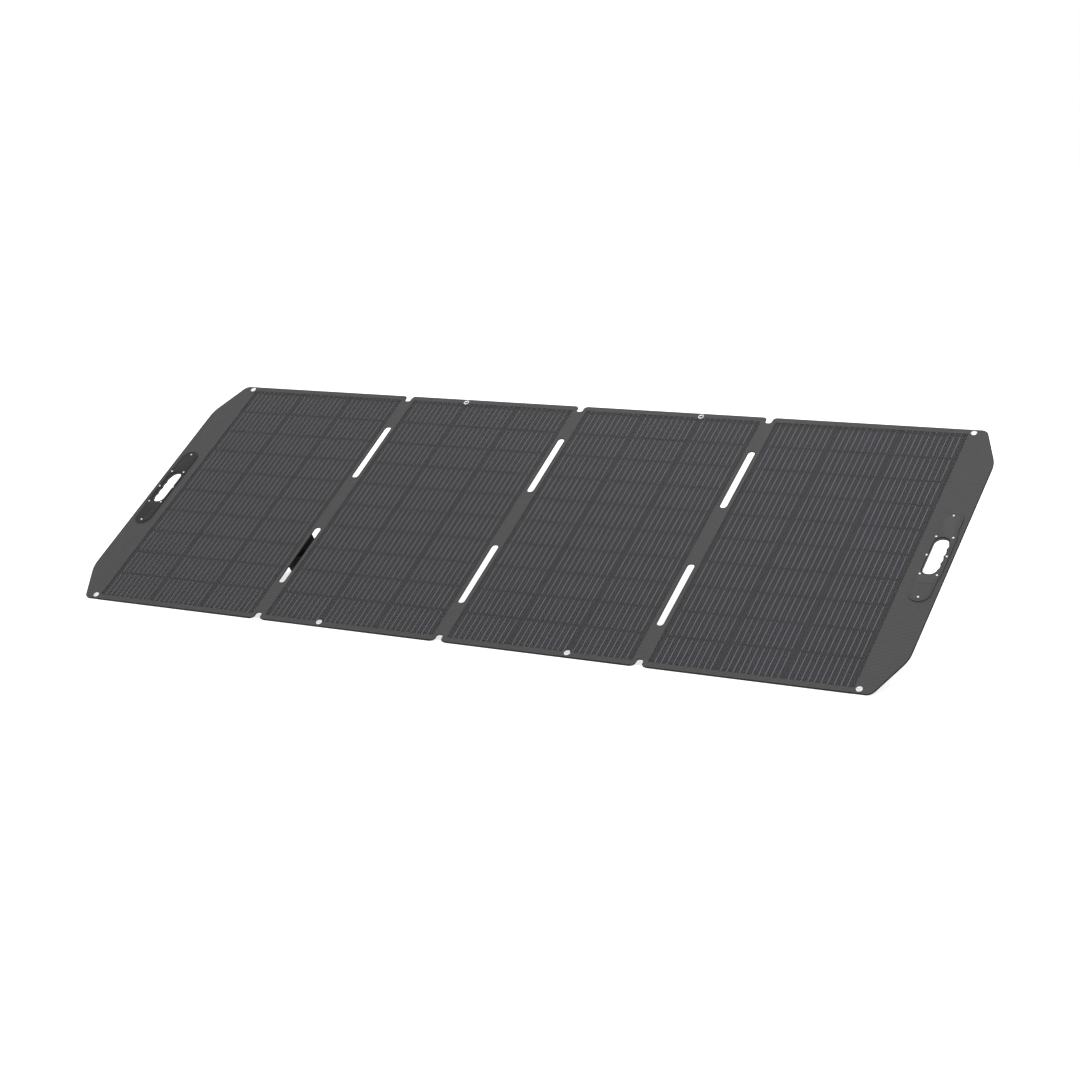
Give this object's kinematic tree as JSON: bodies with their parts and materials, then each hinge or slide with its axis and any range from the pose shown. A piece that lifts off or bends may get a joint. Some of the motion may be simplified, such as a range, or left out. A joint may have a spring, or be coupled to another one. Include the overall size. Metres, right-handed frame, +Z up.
{
  "type": "folding solar panel",
  "caption": "Folding solar panel with hand-hole flaps, laid open in a row and leaning back on fold-out kickstands.",
  "frame": {"origin": "on the ground, centred under the open panel", "axes": "+X along the row of leaves, to the right seen from the front; +Y from the low front edge to the raised back edge; +Z up"},
  "size_m": [2.408, 0.743, 0.5228],
  "materials": {
    "carrier_sheet": "fine twill emboss, satin",
    "core_board": "woven glass laminate",
    "solar_cell": "dark textured silicon",
    "cell_ribbon": "tinned flat wire",
    "top_film": "clear film with a fine diagonal emboss",
    "back_fabric": "coated plain weave",
    "eyelet_metal": "bright nickel",
    "fold_web": "flexible twill sheet, satin",
    "jumper_sleeve": "flat conductor in a black tape",
    "rivet_metal": "polished head",
    "dark_handle": "moulded, satin",
    "grey_handle": "moulded, satin",
    "bracket_metal": "black powder coat",
    "pin_steel": "turned",
    "strap_webbing": "woven webbing",
    "leg_board": "fabric-faced board with stitched edges",
    "foot_rubber": "ribbed rubber",
    "box_plastic": "fine moulded texture",
    "screw_steel": "zinc plated",
    "gland_plastic": "satin",
    "circuit_board": "solder mask"
  },
  "bodies": {
    "leaf_4": {"base_sheet_4": "carrier_sheet", "core_board_4": "core_board", "cell_array_4": "solar_cell", "cell_ribbons_4": "cell_ribbon", "top_film_4": "top_film", "back_cover_4": "back_fabric", "eyelets_4": "eyelet_metal", "fold_web_3": "fold_web", "jumper_ribbons_3": "jumper_sleeve", "handle_front_right": "grey_handle", "handle_back_right": "dark_handle", "handle_rivets_right": "rivet_metal", "leg_bracket_right": "bracket_metal", "bracket_rivets_right": "rivet_metal", "leg_pin_right": "pin_steel", "leg_strap_right": "strap_webbing", "junction_box": "box_plastic", "junction_lid": "box_plastic", "lid_screws": "screw_steel", "cable_gland": "gland_plastic", "diode_board": "circuit_board"},
    "leaf_3": {"base_sheet_3": "carrier_sheet", "core_board_3": "core_board", "cell_array_3": "solar_cell", "cell_ribbons_3": "cell_ribbon", "top_film_3": "top_film", "back_cover_3": "back_fabric", "eyelets_3": "eyelet_metal", "fold_web_2": "fold_web", "jumper_ribbons_2": "jumper_sleeve"},
    "leaf_2": {"base_sheet_2": "carrier_sheet", "core_board_2": "core_board", "cell_array_2": "solar_cell", "cell_ribbons_2": "cell_ribbon", "top_film_2": "top_film", "back_cover_2": "back_fabric", "eyelets_2": "eyelet_metal", "fold_web_1": "fold_web", "jumper_ribbons_1": "jumper_sleeve"},
    "leaf_1": {"base_sheet_1": "carrier_sheet", "core_board_1": "core_board", "cell_array_1": "solar_cell", "cell_ribbons_1": "cell_ribbon", "top_film_1": "top_film", "back_cover_1": "back_fabric", "eyelets_1": "eyelet_metal", "handle_front_left": "dark_handle", "handle_back_left": "dark_handle", "handle_rivets_left": "rivet_metal", "leg_bracket_left": "bracket_metal", "bracket_rivets_left": "rivet_metal", "leg_pin_left": "pin_steel", "leg_strap_left": "strap_webbing"},
    "kickstand_left": {"leg_board_left": "leg_board", "leg_foot_left": "foot_rubber"},
    "kickstand_right": {"leg_board_right": "leg_board", "leg_foot_right": "foot_rubber"}
  },
  "joints": [
    {"name": "fold_3", "type": "hinge", "parent": "leaf_4", "child": "leaf_3", "pos_m": [0.564, -0.00511, 0.26871], "axis": [0, 0.8187, 0.5743], "range_deg": [0, 179.5], "deforming": ["fold_web_3", "jumper_ribbons_3"]},
    {"name": "fold_2", "type": "hinge", "parent": "leaf_3", "child": "leaf_2", "pos_m": [0, 0.00408, 0.25561], "axis": [0, 0.8187, 0.5743], "range_deg": [-179.5, 0], "deforming": ["fold_web_2", "jumper_ribbons_2"]},
    {"name": "fold_1", "type": "hinge", "parent": "leaf_2", "child": "leaf_1", "pos_m": [-0.564, -0.00511, 0.26871], "axis": [0, 0.8187, 0.5743], "range_deg": [0, 179.5], "deforming": ["fold_web_1", "jumper_ribbons_1"]},
    {"name": "kickstand_left", "type": "hinge", "parent": "leaf_1", "child": "kickstand_left", "pos_m": [-0.846, 0.05692, 0.29085], "axis": [-1, 0, 0], "range_deg": [0, 90], "deforming": ["leg_strap_left"]},
    {"name": "kickstand_right", "type": "hinge", "parent": "leaf_4", "child": "kickstand_right", "pos_m": [0.846, 0.05692, 0.29085], "axis": [-1, 0, 0], "range_deg": [0, 90], "deforming": ["leg_strap_right"]}
  ],
  "couplings": [
    {"joint": "fold_2", "follows": "fold_3", "ratio": -1},
    {"joint": "fold_1", "follows": "fold_3", "ratio": 1}
  ]
}
